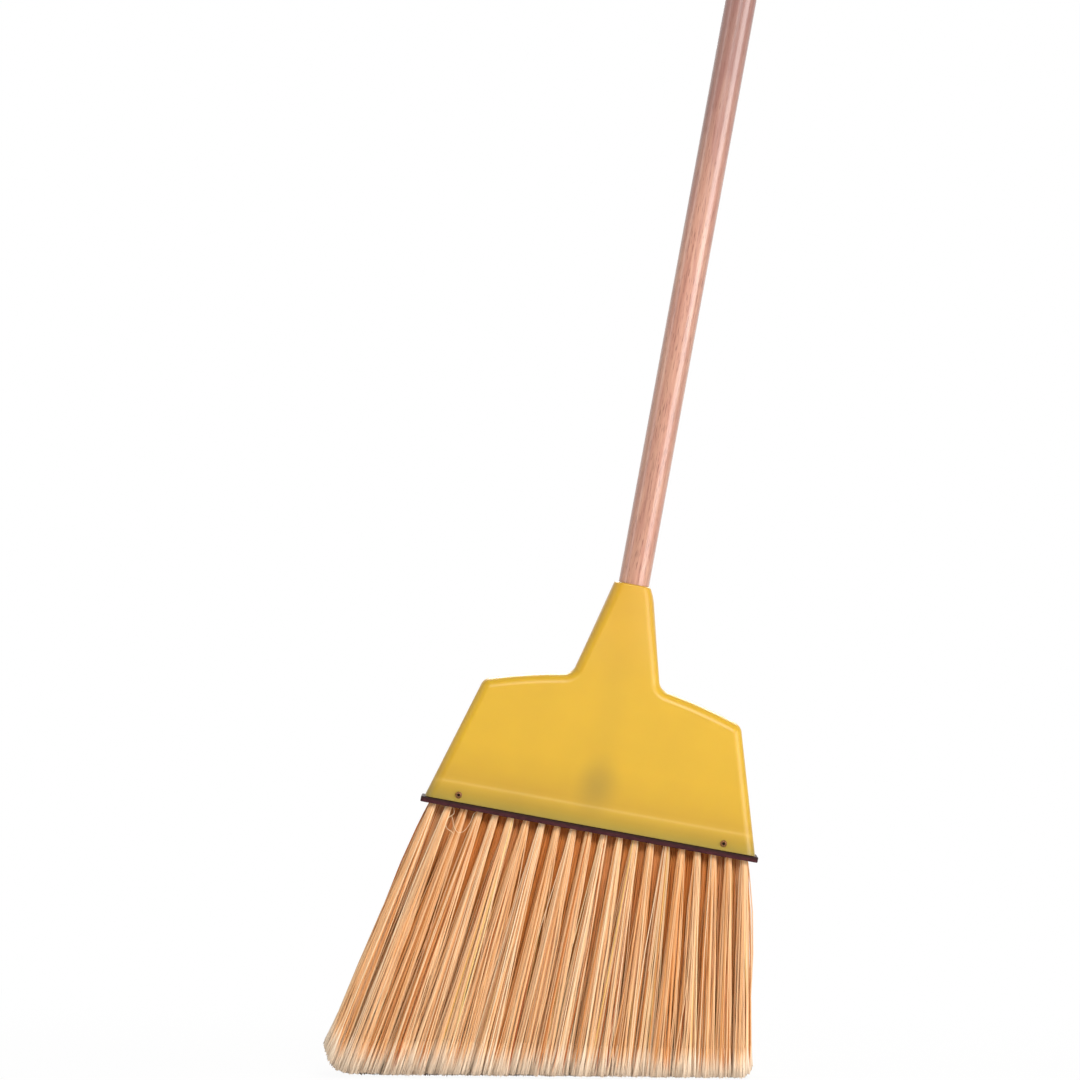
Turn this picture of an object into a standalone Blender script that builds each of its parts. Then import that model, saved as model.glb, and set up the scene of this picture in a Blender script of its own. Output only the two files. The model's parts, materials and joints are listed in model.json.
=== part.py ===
# An angle broom: a wooden handle screwed into a tufted plastic block, under a hollow plastic hood.
# Lengths are in metres. The pieces are drawn in the head's own frame, where Z runs up the handle's axis,
# X runs along the block, Y runs from front to back, and the origin is on the axis at the hood's lower edge.
# The head's frame is then leaned, so that the slanted bristle tips lie flat on the floor, at Z = 0.
import math

import bmesh
import bpy
from mathutils import Matrix, Vector

# Fits
FIT_GAP = 0.0003
OVERRUN = 0.004
EMBED = 0.001
WELD = 0.00001

# Handle
HANDLE_LENGTH = 1.219
HANDLE_DIAMETER = 0.0238
HANDLE_DOME_HEIGHT = 0.008
HANDLE_CHAMFER = 0.0015
THREAD_DIAMETER = 0.019
THREAD_DEPTH = 0.0016
THREAD_PITCH = 0.00508
THREAD_LENGTH = 0.026
THREAD_CLEARANCE = 0.0004
SOCKET_END_GAP = 0.002

# Tufts and their strands
COLUMN_COUNT = 21
ROW_COUNT = 5
TUFT_PITCH = 0.0121
ROW_PITCH = 0.0088
BRISTLE_LENGTH = 0.192
STRAND_ROOT_OFFSET = 0.0015
STRAND_ROOT_RADIUS = 0.00095
STRAND_TIP_RADIUS = 0.0021
TRIM_ANGLE = math.radians(10)
LEFT_FLARE_ANGLE = math.radians(11.5)
RIGHT_FLARE_ANGLE = math.radians(9.6)
FACE_FLARE_ANGLE = math.radians(4)
STRAND_REACH_SHARE = 1.4

# Block
FLANGE_THICKNESS = 0.0042
FLANGE_END_OVERHANG = 0.0025
FLANGE_FACE_OVERHANG = 0.0009
FLANGE_CORNER_RADIUS = 0.003
FLANGE_EDGE_RADIUS = 0.0006
SPIGOT_HEIGHT = 0.0142
SPIGOT_END_MARGIN = 0.006
SPIGOT_FACE_MARGIN = 0.0051
SLICE_THICKNESS = 0.0022
SLICE_FACE_MARGIN = 0.0045
BOSS_HEIGHT = 0.046
BOSS_FOOT_WALL = 0.008
BOSS_TOP_WALL = 0.005

# Hood
HOOD_WALL = 0.002
HOOD_HEIGHT = 0.189
HOOD_EDGE_RADIUS = 0.007
SKIRT_HEIGHT = 0.0145
SHOULDER_HALF_WIDTH = 0.1007
SHOULDER_HEIGHT = 0.0965
SHOULDER_CORNER_RADIUS = 0.008
SHOULDER_BOW_HALF_WIDTH = 0.0675
SHOULDER_BOW_HEIGHT = 0.1064
SHOULDER_BOW_RADIUS = 0.3
NECK_ROOT_HALF_WIDTH = 0.0343
NECK_ROOT_HEIGHT = 0.1127
NECK_CORNER_RADIUS = 0.009
NECK_WALL = 0.0028
COLLAR_DEPTH = 0.012
LIP_RADIUS = 0.0018

# Screws that hold the hood to the block
SCREW_SPREAD = 0.1035
SCREW_HEIGHT = 0.0055
SCREW_HEAD_RADIUS = 0.0026
SCREW_HEAD_HEIGHT = 0.0015
SCREW_SHANK_RADIUS = 0.0011
SCREW_SHANK_LENGTH = 0.0115
SCREW_POINT_LENGTH = 0.002
RECESS_LENGTH = 0.0028
RECESS_WIDTH = 0.0006
RECESS_DEPTH = 0.0008

# Smoothness: segments of round shapes
HANDLE_SEGMENTS = 32
DOME_SEGMENTS = 5
THREAD_SEGMENTS = 24
CORNER_SEGMENTS = 5
EDGE_SEGMENTS = 5
SCREW_SEGMENTS = 16
STRAND_SIDES = 3

# Worked out from the sizes above
HANDLE_RADIUS = HANDLE_DIAMETER / 2
THREAD_RADIUS = THREAD_DIAMETER / 2
BOSS_FOOT_RADIUS = THREAD_RADIUS + THREAD_CLEARANCE + BOSS_FOOT_WALL
BOSS_TOP_RADIUS = THREAD_RADIUS + THREAD_CLEARANCE + BOSS_TOP_WALL
SOCKET_DEPTH = THREAD_LENGTH + SOCKET_END_GAP
HANDLE_SHOULDER = BOSS_HEIGHT + FIT_GAP
OUTER_TUFT_X = TUFT_PITCH * (COLUMN_COUNT - 1) / 2
OUTER_ROW_Y = ROW_PITCH * (ROW_COUNT - 1) / 2
SPIGOT_INSET = HOOD_WALL + FIT_GAP
MOUTH_HALF_WIDTH = OUTER_TUFT_X + SPIGOT_END_MARGIN + SPIGOT_INSET
MOUTH_HALF_DEPTH = OUTER_ROW_Y + SPIGOT_FACE_MARGIN + SPIGOT_INSET
NECK_RADIUS = HANDLE_RADIUS + FIT_GAP + NECK_WALL
FLANGE_TOP = -FIT_GAP
UNDERSIDE = FLANGE_TOP - FLANGE_THICKNESS
SLICE_HALF_DEPTH = OUTER_ROW_Y + SLICE_FACE_MARGIN

# Bristle fan: sideways slope of a tuft at x is FAN_LEAN + FAN_SPREAD * x
FAN_LEAN = (math.tan(RIGHT_FLARE_ANGLE) - math.tan(LEFT_FLARE_ANGLE)) / 2
FAN_SPREAD = (math.tan(RIGHT_FLARE_ANGLE) + math.tan(LEFT_FLARE_ANGLE)) / (2 * OUTER_TUFT_X)
FACE_SPREAD = math.tan(FACE_FLARE_ANGLE) / OUTER_ROW_Y
FLOOR_POINT = Vector((FAN_LEAN * BRISTLE_LENGTH, 0, UNDERSIDE - BRISTLE_LENGTH))
FLOOR_NORMAL = Vector((-math.sin(TRIM_ANGLE), 0, math.cos(TRIM_ANGLE)))

# Name, base colour, roughness and metallic value
WOOD = ("lacquered_hardwood", (0.62, 0.36, 0.23), 0.35, 0)
YELLOW_PLASTIC = ("yellow_polypropylene", (0.84, 0.50, 0.06), 0.4, 0)
BLACK_PLASTIC = ("black_polypropylene", (0.045, 0.032, 0.036), 0.5, 0)
BRISTLE_PLASTIC = ("straw_polypropylene", (0.68, 0.38, 0.16), 0.55, 0)
SCREW_STEEL = ("bronzed_steel", (0.17, 0.09, 0.05), 0.4, 0.9)


def clear_scene():
    for thing in list(bpy.data.objects):
        bpy.data.objects.remove(thing, do_unlink=True)


def material_of(recipe):
    name, colour, roughness, metallic = recipe
    material = bpy.data.materials.get(name)
    if material is None:
        material = bpy.data.materials.new(name)
        material.use_nodes = True
        shader = material.node_tree.nodes["Principled BSDF"]
        shader.inputs["Base Color"].default_value = (*colour, 1)
        shader.inputs["Roughness"].default_value = roughness
        shader.inputs["Metallic"].default_value = metallic
    return material


def place(bm, name, recipe=None):
    """Turns a bmesh into an object of the head. With no recipe it is a helper that only cuts or joins."""
    bmesh.ops.recalc_face_normals(bm, faces=bm.faces)
    mesh = bpy.data.meshes.new(name)
    bm.to_mesh(mesh)
    bm.free()
    thing = bpy.data.objects.new(name, mesh)
    bpy.context.scene.collection.objects.link(thing)
    thing.parent = HEAD
    if recipe is None:
        thing.hide_render = True
        thing.display_type = "WIRE"
    else:
        mesh.materials.append(material_of(recipe))
        mesh.shade_smooth()
        mesh.set_sharp_from_angle(angle=math.radians(35))
    return thing


def combine(target, tool, operation):
    modifier = target.modifiers.new(tool.name, "BOOLEAN")
    modifier.operation = operation
    modifier.object = tool


def add_cylinder(bm, radius, start, end, segments):
    """A closed cylinder between two points."""
    along = end - start
    turn = along.to_track_quat("Z", "Y").to_matrix().to_4x4()
    matrix = Matrix.Translation((start + end) / 2) @ turn
    bmesh.ops.create_cone(bm, cap_ends=True, segments=segments, radius1=radius, radius2=radius,
                          depth=along.length, matrix=matrix)


def add_box(bm, low, high):
    middle = (Vector(low) + Vector(high)) / 2
    size = Vector(high) - Vector(low)
    matrix = Matrix.Translation(middle) @ Matrix.Diagonal((*size, 1))
    return bmesh.ops.create_cube(bm, size=1, matrix=matrix)["verts"]


def turned(name, profile, segments, recipe=None, matrix=None):
    """A solid of revolution about Z: the profile is a list of (radius, z) that starts and ends on the axis."""
    bm = bmesh.new()
    verts = [bm.verts.new((radius, 0, z)) for radius, z in profile]
    edges = [bm.edges.new(pair) for pair in zip(verts, verts[1:])]
    bmesh.ops.spin(bm, geom=verts + edges, cent=(0, 0, 0), axis=(0, 0, 1), angle=math.tau,
                   steps=segments, use_merge=True)
    bmesh.ops.remove_doubles(bm, verts=bm.verts, dist=WELD)
    if matrix is not None:
        bmesh.ops.transform(bm, matrix=matrix, verts=bm.verts)
    return place(bm, name, recipe)


def bisect(bm, point, outward):
    """Cuts off what lies beyond a plane and closes the cut."""
    geometry = bm.verts[:] + bm.edges[:] + bm.faces[:]
    cut = bmesh.ops.bisect_plane(bm, geom=geometry, plane_co=point, plane_no=outward, clear_outer=True)
    edges = [item for item in cut["geom_cut"] if isinstance(item, bmesh.types.BMEdge)]
    bmesh.ops.holes_fill(bm, edges=edges, sides=0)


# Thread: a single start, its crest, root and both flanks each a quarter of the pitch wide

def thread_radius(turn_share, radius):
    """Radius of the thread at a share of the way through one turn of its profile."""
    if turn_share < 0.25:
        drop_share = 0
    elif turn_share < 0.5:
        drop_share = (turn_share - 0.25) / 0.25
    elif turn_share < 0.75:
        drop_share = 1
    else:
        drop_share = (1 - turn_share) / 0.25
    return radius - THREAD_DEPTH * drop_share


def threaded_rod(name, radius, low, high):
    """A closed threaded rod from low to high. Rods of unlike radius stay in step, because z sets the phase."""
    bm = bmesh.new()
    first = math.floor(4 * low / THREAD_PITCH) - 4
    last = math.ceil(4 * high / THREAD_PITCH) + 4
    rows = []
    for step in range(first, last + 1):
        row = []
        for index in range(THREAD_SEGMENTS):
            turn_share = index / THREAD_SEGMENTS
            z = min(max(THREAD_PITCH * (step / 4 + turn_share), low), high)
            reach = thread_radius((z / THREAD_PITCH - turn_share) % 1, radius)
            angle = math.tau * turn_share
            row.append(bm.verts.new((reach * math.cos(angle), reach * math.sin(angle), z)))
        rows.append(row)
    for step in range(len(rows) - 5):
        for index in range(THREAD_SEGMENTS):
            lower, upper = rows[step], rows[step + 1]
            if index + 1 < THREAD_SEGMENTS:
                beyond = (upper[index + 1], lower[index + 1])
            else:
                beyond = (rows[step + 5][0], rows[step + 4][0])
            bm.faces.new((lower[index], upper[index], *beyond))
    bmesh.ops.remove_doubles(bm, verts=bm.verts, dist=WELD)
    loose = [vert for vert in bm.verts if not vert.link_faces]
    bmesh.ops.delete(bm, geom=loose, context="VERTS")
    bmesh.ops.holes_fill(bm, edges=[edge for edge in bm.edges if edge.is_boundary], sides=0)
    return place(bm, name)


# Handle

def make_handle():
    top = HANDLE_SHOULDER + HANDLE_LENGTH - THREAD_LENGTH
    dome_base = top - HANDLE_DOME_HEIGHT
    profile = [(0, HANDLE_SHOULDER), (HANDLE_RADIUS - HANDLE_CHAMFER, HANDLE_SHOULDER),
               (HANDLE_RADIUS, HANDLE_SHOULDER + HANDLE_CHAMFER)]
    for step in range(DOME_SEGMENTS):
        angle = math.radians(90) * step / DOME_SEGMENTS
        profile.append((HANDLE_RADIUS * math.cos(angle), dome_base + HANDLE_DOME_HEIGHT * math.sin(angle)))
    profile.append((0, top))
    handle = turned("handle", profile, HANDLE_SEGMENTS, WOOD)
    thread = threaded_rod("handle_thread", THREAD_RADIUS, HANDLE_SHOULDER - THREAD_LENGTH,
                          HANDLE_SHOULDER + EMBED)
    combine(handle, thread, "UNION")


# Hood, whose outer form, hollow and fitted block all come from the same outline, set in by unlike amounts

def half_depth(z):
    """Half the hood's outer depth, front to back: upright at the skirt, then tapering to the neck's radius."""
    climb_share = max(z - SKIRT_HEIGHT, 0) / (HOOD_HEIGHT - SKIRT_HEIGHT)
    return MOUTH_HALF_DEPTH + (NECK_RADIUS - MOUTH_HALF_DEPTH) * climb_share


def meet(first, second):
    """Where two lines of the outline, each a point and a direction, cross."""
    (a, u), (b, v) = first, second
    along = ((b.x - a.x) * v.y - (b.y - a.y) * v.x) / (u.x * v.y - u.y * v.x)
    return a + u * along


def hood_outline(inset):
    """Right half of the outline, from above the neck to below the mouth: (point, outward normal) in X and Z."""
    corners = [Vector((MOUTH_HALF_WIDTH, 0)), Vector((SHOULDER_HALF_WIDTH, SHOULDER_HEIGHT)),
               Vector((SHOULDER_BOW_HALF_WIDTH, SHOULDER_BOW_HEIGHT)),
               Vector((NECK_ROOT_HALF_WIDTH, NECK_ROOT_HEIGHT)), Vector((NECK_RADIUS, HOOD_HEIGHT))]
    lines = []
    for start, end in zip(corners, corners[1:]):
        along = (end - start).normalized()
        normal = Vector((along.y, -along.x))
        lines.append((start - normal * inset, along, normal))
    side, outer_shoulder, inner_shoulder, neck = lines
    stations = []

    def straight(line, z):
        point, along, normal = line
        stations.append((point + along * ((z - point.y) / along.y), normal))

    def fillet(above, below, radius, inward):
        """Arc between two lines, met from above. The arc's centre lies inward of a convex corner."""
        corner = meet(above[:2], below[:2])
        turn = above[2].angle(below[2])
        bisector = (above[2] + below[2]).normalized()
        centre = corner - bisector * (inward * radius / math.cos(turn / 2))
        for step in range(CORNER_SEGMENTS + 1):
            normal = above[2].slerp(below[2], step / CORNER_SEGMENTS)
            stations.append((centre + normal * (inward * radius), normal))

    straight(neck, HOOD_HEIGHT + OVERRUN + NECK_RADIUS * neck[2].y)
    straight(neck, (HOOD_HEIGHT + NECK_ROOT_HEIGHT) / 2)
    fillet(neck, inner_shoulder, NECK_CORNER_RADIUS + inset, -1)
    fillet(inner_shoulder, outer_shoulder, SHOULDER_BOW_RADIUS - inset, 1)
    fillet(outer_shoulder, side, SHOULDER_CORNER_RADIUS - inset, 1)
    straight(side, SKIRT_HEIGHT + edge_radius(SKIRT_HEIGHT, inset) * side[2].y)
    straight(side, -OVERRUN - HOOD_EDGE_RADIUS)
    return stations


def edge_radius(z, inset):
    """Rounding between the hood's sides and its faces, which grows up the neck until the neck is round."""
    climb_share = min(max(z - NECK_ROOT_HEIGHT, 0) / (HOOD_HEIGHT - NECK_ROOT_HEIGHT), 1)
    return HOOD_EDGE_RADIUS + (NECK_RADIUS - HOOD_EDGE_RADIUS) * climb_share - inset


def hood_form(name, inset, low, high, recipe=None, lip=0):
    """The hood's closed form, set in by inset and cut off square at low and high."""
    bm = bmesh.new()
    stations = hood_outline(inset)
    sides = []
    for sense in (1, -1):
        chains = []
        for point, normal in stations:
            radius = min(edge_radius(point.y, inset), point.x, half_depth(point.y) - inset)
            chain = []
            for step in range(2 * EDGE_SEGMENTS + 2):
                face = -1 if step <= EDGE_SEGMENTS else 1
                turn = EDGE_SEGMENTS - step if face < 0 else step - EDGE_SEGMENTS - 1
                angle = math.radians(90) * turn / EDGE_SEGMENTS
                drawn_in = radius * (1 - math.cos(angle))
                x, z = point - normal * drawn_in
                y = half_depth(z) - inset - radius * (1 - math.sin(angle))
                chain.append(bm.verts.new((sense * x, face * y, z)))
            chains.append(chain)
        for upper, lower in zip(chains, chains[1:]):
            for index in range(len(upper) - 1):
                bm.faces.new((upper[index], upper[index + 1], lower[index + 1], lower[index]))
        sides.append(chains)
    right, left = sides
    for end in (0, -1):
        face = [chain[end] for chain in right[:-1]] + [chain[end] for chain in reversed(left[:-1])]
        bm.faces.new(face)
        bm.faces.new((right[-2][end], right[-1][end], left[-1][end], left[-2][end]))
    bisect(bm, (0, 0, high), (0, 0, 1))
    bisect(bm, (0, 0, low), (0, 0, -1))
    if lip:
        bmesh.ops.recalc_face_normals(bm, faces=bm.faces)
        rim = [edge for edge in bm.edges if all(abs(vert.co.z - high) < WELD for vert in edge.verts)]
        bmesh.ops.bevel(bm, geom=rim, offset=lip, segments=3, profile=0.5, affect="EDGES",
                        clamp_overlap=True, material=-1)
    return place(bm, name, recipe)


def screw_places():
    """(name, x, sense of Y) of each screw."""
    for face_name, face in (("front", -1), ("back", 1)):
        for side_name, side in (("left", -1), ("right", 1)):
            yield f"hood_screw_{face_name}_{side_name}", side * SCREW_SPREAD, face


def screw_hole_cutter(name):
    """Clearance holes for all four shanks, as deep as the screws need in the block."""
    bm = bmesh.new()
    outside = MOUTH_HALF_DEPTH + OVERRUN
    inside = MOUTH_HALF_DEPTH + FIT_GAP - SCREW_SHANK_LENGTH - EMBED
    for _, x, face in screw_places():
        add_cylinder(bm, SCREW_SHANK_RADIUS + FIT_GAP, Vector((x, face * outside, SCREW_HEIGHT)),
                     Vector((x, face * inside, SCREW_HEIGHT)), SCREW_SEGMENTS)
    return place(bm, name)


def make_hood(screw_holes):
    hood = hood_form("hood", 0, 0, HOOD_HEIGHT, YELLOW_PLASTIC, LIP_RADIUS)
    hollow = hood_form("hood_hollow", HOOD_WALL, -OVERRUN, HOOD_HEIGHT - COLLAR_DEPTH)
    bm = bmesh.new()
    add_cylinder(bm, HANDLE_RADIUS + FIT_GAP, Vector((0, 0, HOOD_HEIGHT - COLLAR_DEPTH - OVERRUN)),
                 Vector((0, 0, HOOD_HEIGHT + OVERRUN)), HANDLE_SEGMENTS)
    collar_bore = place(bm, "hood_collar_bore")
    combine(hood, hollow, "DIFFERENCE")
    combine(hood, collar_bore, "DIFFERENCE")
    combine(hood, screw_holes, "DIFFERENCE")


# Block

def make_block(screw_holes):
    bm = bmesh.new()
    half_length = MOUTH_HALF_WIDTH + FLANGE_END_OVERHANG
    half_width = MOUTH_HALF_DEPTH + FLANGE_FACE_OVERHANG
    add_box(bm, (-half_length, -half_width, UNDERSIDE), (half_length, half_width, FLANGE_TOP))
    upright = [edge for edge in bm.edges if abs(edge.verts[0].co.z - edge.verts[1].co.z) > WELD]
    bmesh.ops.bevel(bm, geom=upright, offset=FLANGE_CORNER_RADIUS, segments=CORNER_SEGMENTS, profile=0.5,
                    affect="EDGES", material=-1)
    rims = [edge for edge in bm.edges if abs(edge.verts[0].co.z - edge.verts[1].co.z) < WELD]
    bmesh.ops.bevel(bm, geom=rims, offset=FLANGE_EDGE_RADIUS, segments=1, profile=0.5, affect="EDGES",
                    material=-1)
    block = place(bm, "block", BLACK_PLASTIC)

    spigot = hood_form("block_spigot", SPIGOT_INSET, FLANGE_TOP - EMBED, SPIGOT_HEIGHT)
    combine(block, spigot, "UNION")

    boss = turned("block_boss", [(0, SPIGOT_HEIGHT - EMBED), (BOSS_FOOT_RADIUS, SPIGOT_HEIGHT - EMBED),
                                 (BOSS_TOP_RADIUS, BOSS_HEIGHT), (0, BOSS_HEIGHT)], HANDLE_SEGMENTS)
    combine(block, boss, "UNION")

    socket = threaded_rod("block_socket", THREAD_RADIUS + THREAD_CLEARANCE, BOSS_HEIGHT - SOCKET_DEPTH,
                          BOSS_HEIGHT + OVERRUN)
    combine(block, socket, "DIFFERENCE")

    bm = bmesh.new()
    low, high = column_span(0)[0], column_span(COLUMN_COUNT - 1)[1]
    pocket_depth = SLICE_HALF_DEPTH + FIT_GAP
    add_box(bm, (low - FIT_GAP, -pocket_depth, UNDERSIDE - OVERRUN),
            (high + FIT_GAP, pocket_depth, UNDERSIDE + SLICE_THICKNESS + FIT_GAP))
    combine(block, place(bm, "block_pocket"), "DIFFERENCE")
    combine(block, screw_holes, "DIFFERENCE")


# Bristles, in columns from front to back. Alternate rows stand half a pitch along, so they are staggered

def column_span(column):
    """Lowest and highest x of a column's slice of the backing, with the gap to its neighbours taken off."""
    first = -OUTER_TUFT_X + TUFT_PITCH * column
    low = first - TUFT_PITCH / 4
    width = TUFT_PITCH if column < COLUMN_COUNT - 1 else TUFT_PITCH / 2
    return low, low + width - FIT_GAP


def tufts_of(column):
    """(x, y, row) of each tuft in a column."""
    for row in range(ROW_COUNT):
        staggered = row % 2 == 1
        if staggered and column == COLUMN_COUNT - 1:
            continue
        x = -OUTER_TUFT_X + TUFT_PITCH * (column + (0.5 if staggered else 0))
        yield x, ROW_PITCH * row - OUTER_ROW_Y, row


def strands_of(column, row):
    """(across, along, tip shares) of each strand in a tuft. Across and along, -1 or 1, are its corner of the
    tuft, and its tip shares say how far it spreads, as shares of the pitch and of the row pitch at the tips.
    The corners of neighbouring tufts are turned unlike ways, so that no gap shows through them all. A tuft of
    the middle row is square, with a strand at its centre."""
    middle = 2 * row == ROW_COUNT - 1
    skew = 0 if middle else 1
    turn = 1 if column % 2 == 0 else -1
    for across in (-1, 1):
        for along in (-1, 1):
            yield across, along, ((2 * across + skew * along) / 8, (2 * along + skew * turn) / 8)
    if middle:
        yield 0, 0, (0, 0)


def add_strand(bm, tuft_x, tuft_y, across, along, tip_shares):
    """One strand, thin at its root and wider at its tip, where the tufts have spread until they meet."""
    root = Vector((tuft_x + across * STRAND_ROOT_OFFSET, tuft_y + along * STRAND_ROOT_OFFSET, UNDERSIDE))
    tip = Vector((tuft_x + (FAN_LEAN + FAN_SPREAD * tuft_x) * BRISTLE_LENGTH, tuft_y, 0))
    tip.x += tip_shares[0] * TUFT_PITCH * (1 + FAN_SPREAD * BRISTLE_LENGTH)
    tip.y = (tuft_y + tip_shares[1] * ROW_PITCH) * (1 + FACE_SPREAD * BRISTLE_LENGTH)
    tip.z = UNDERSIDE - BRISTLE_LENGTH
    fall = (tip - root) / BRISTLE_LENGTH
    start = root - fall * EMBED
    end = root + fall * BRISTLE_LENGTH * STRAND_REACH_SHARE
    swell = (STRAND_TIP_RADIUS - STRAND_ROOT_RADIUS) * STRAND_REACH_SHARE
    turn = (end - start).to_track_quat("Z", "Y").to_matrix().to_4x4()
    bmesh.ops.create_cone(bm, cap_ends=True, segments=STRAND_SIDES, radius1=STRAND_ROOT_RADIUS,
                          radius2=STRAND_ROOT_RADIUS + swell, depth=(end - start).length,
                          matrix=Matrix.Translation((start + end) / 2) @ turn)


def make_bristle_column(column):
    bm = bmesh.new()
    low, high = column_span(column)
    add_box(bm, (low, -SLICE_HALF_DEPTH, UNDERSIDE), (high, SLICE_HALF_DEPTH, UNDERSIDE + SLICE_THICKNESS))
    slice_of_backing = place(bm, f"bristle_column_{column + 1:02d}", BRISTLE_PLASTIC)

    bm = bmesh.new()
    for tuft_x, tuft_y, row in tufts_of(column):
        for across, along, tip_shares in strands_of(column, row):
            add_strand(bm, tuft_x, tuft_y, across, along, tip_shares)
    bisect(bm, FLOOR_POINT, -FLOOR_NORMAL)
    combine(slice_of_backing, place(bm, f"strands_{column + 1:02d}"), "UNION")


# Screws

def make_screws():
    head_seat = MOUTH_HALF_DEPTH + FIT_GAP
    shank_end = head_seat - SCREW_SHANK_LENGTH
    profile = [(0, shank_end), (SCREW_SHANK_RADIUS, shank_end + SCREW_POINT_LENGTH),
               (SCREW_SHANK_RADIUS, head_seat), (SCREW_HEAD_RADIUS, head_seat)]
    for step in range(1, EDGE_SEGMENTS):
        angle = math.radians(90) * step / EDGE_SEGMENTS
        profile.append((SCREW_HEAD_RADIUS * math.cos(angle), head_seat + SCREW_HEAD_HEIGHT * math.sin(angle)))
    profile.append((0, head_seat + SCREW_HEAD_HEIGHT))
    for name, x, face in screw_places():
        turn = Matrix.Rotation(math.radians(90) * -face, 4, "X")
        matrix = Matrix.Translation((x, 0, SCREW_HEIGHT)) @ turn
        screw = turned(name, profile, SCREW_SEGMENTS, SCREW_STEEL, matrix)
        for label, reach, width in (("slot", RECESS_LENGTH, RECESS_WIDTH), ("bar", RECESS_WIDTH, RECESS_LENGTH)):
            bm = bmesh.new()
            top = head_seat + SCREW_HEAD_HEIGHT
            add_box(bm, (-reach / 2, -width / 2, top - RECESS_DEPTH), (reach / 2, width / 2, top + OVERRUN))
            bmesh.ops.transform(bm, matrix=matrix, verts=bm.verts)
            combine(screw, place(bm, f"{name}_{label}"), "DIFFERENCE")


clear_scene()
HEAD = bpy.data.objects.new("head_frame", None)
bpy.context.scene.collection.objects.link(HEAD)
HEAD.rotation_euler = (0, TRIM_ANGLE, 0)
HEAD.location = -(Matrix.Rotation(TRIM_ANGLE, 3, "Y") @ FLOOR_POINT)

make_handle()
SCREW_HOLES = screw_hole_cutter("screw_holes")
make_hood(SCREW_HOLES)
make_block(SCREW_HOLES)
for column_index in range(COLUMN_COUNT):
    make_bristle_column(column_index)
make_screws()
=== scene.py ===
# The looks of an angle broom: wooden handle, yellow hood, tufted block and flagged bristles.
# Pieces are drawn in the head's own millimetres: Z up the handle, X along the block, Y front to back,
# and the origin on the handle's axis at the hood's lower edge. headPlace then puts them in the model's frame.
import json
import math
import random
import bmesh
import bpy
from mathutils import Matrix, Vector

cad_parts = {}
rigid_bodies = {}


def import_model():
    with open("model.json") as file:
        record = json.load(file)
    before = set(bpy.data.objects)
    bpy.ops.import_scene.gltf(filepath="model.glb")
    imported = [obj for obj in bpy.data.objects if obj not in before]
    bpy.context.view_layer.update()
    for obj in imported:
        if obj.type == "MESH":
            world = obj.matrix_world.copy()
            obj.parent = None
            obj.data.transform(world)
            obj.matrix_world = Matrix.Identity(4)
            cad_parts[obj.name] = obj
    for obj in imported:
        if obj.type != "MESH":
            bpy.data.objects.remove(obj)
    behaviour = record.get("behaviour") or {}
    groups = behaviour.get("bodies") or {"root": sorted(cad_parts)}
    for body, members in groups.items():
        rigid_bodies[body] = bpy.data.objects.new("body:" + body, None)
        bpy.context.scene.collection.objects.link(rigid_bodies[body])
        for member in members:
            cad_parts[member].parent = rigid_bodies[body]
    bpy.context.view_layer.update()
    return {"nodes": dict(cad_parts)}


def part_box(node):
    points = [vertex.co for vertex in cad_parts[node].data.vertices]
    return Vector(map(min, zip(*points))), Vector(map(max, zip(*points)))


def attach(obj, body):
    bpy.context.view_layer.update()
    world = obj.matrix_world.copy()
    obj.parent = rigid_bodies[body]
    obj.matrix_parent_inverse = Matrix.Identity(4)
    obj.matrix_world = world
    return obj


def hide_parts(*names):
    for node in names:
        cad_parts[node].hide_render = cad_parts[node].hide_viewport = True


for startupThing in list(bpy.data.objects):      # the startup file's cube, lamp and camera
    bpy.data.objects.remove(startupThing)

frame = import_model()
print("frame loaded:", len(frame["nodes"]), "CAD nodes")


# Where the head is: the screws stand square round the handle's axis, so their middle gives the place
head = {
    "lean": 10.0,            # degrees that the handle leans to the right
    "screwSpread": 103.5,    # mm from the axis to each screw
    "screwHeight": 5.5,      # mm above the hood's lower edge
}
screwPlaces = [                            # node, x and the way it faces
    (f"hood_screw_{faceName}_{sideName}", side * head["screwSpread"], face)
    for faceName, face in (("front", -1), ("back", 1)) for sideName, side in (("left", -1), ("right", 1))
]
screwMiddle = sum((sum(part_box(node), Vector()) / 2 for node, _, _ in screwPlaces), Vector()) / 4
headAngles = (0, math.radians(head["lean"]), 0)
leanSine, leanCosine = math.sin(headAngles[1]), math.cos(headAngles[1])
headTurn = Matrix.Rotation(headAngles[1], 4, "Y")
headOrigin = screwMiddle - headTurn @ Vector((0, 0, head["screwHeight"] / 1000))
headPlace = Matrix.Translation(headOrigin) @ headTurn @ Matrix.Scale(0.001, 4)


# Small tools

def linear(hexColour):                     # an sRGB hex colour in the linear values that nodes take
    channels = [int(hexColour[i:i + 2], 16) / 255 for i in (1, 3, 5)]
    return tuple(c / 12.92 if c <= 0.04045 else ((c + 0.055) / 1.055) ** 2.4 for c in channels) + (1,)


def addNode(tree, kind, settings=None, links=None):
    node = tree.nodes.new("ShaderNode" + kind)
    for name, value in (settings or {}).items():
        if name == "stops":                # a colour ramp's stops: position and hex colour
            while len(node.color_ramp.elements) < len(value):
                node.color_ramp.elements.new(1)
            for element, (position, hexColour) in zip(node.color_ramp.elements, value):
                element.position = position
                element.color = linear(hexColour)
        elif isinstance(name, str) and hasattr(node, name):
            setattr(node, name, value)
        else:
            node.inputs[name].default_value = value
    for name, source in (links or {}).items():       # a source is an output, or a node for its first output
        tree.links.new(getattr(source, "outputs", [source])[0], node.inputs[name])
    return node


def newMaterial(name, addShader):          # addShader fills the node tree and gives back its last node
    material = bpy.data.materials.new(name)
    material.use_nodes = True
    tree = material.node_tree
    tree.nodes.clear()
    addNode(tree, "OutputMaterial", links={"Surface": addShader(tree)})
    return material


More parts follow.
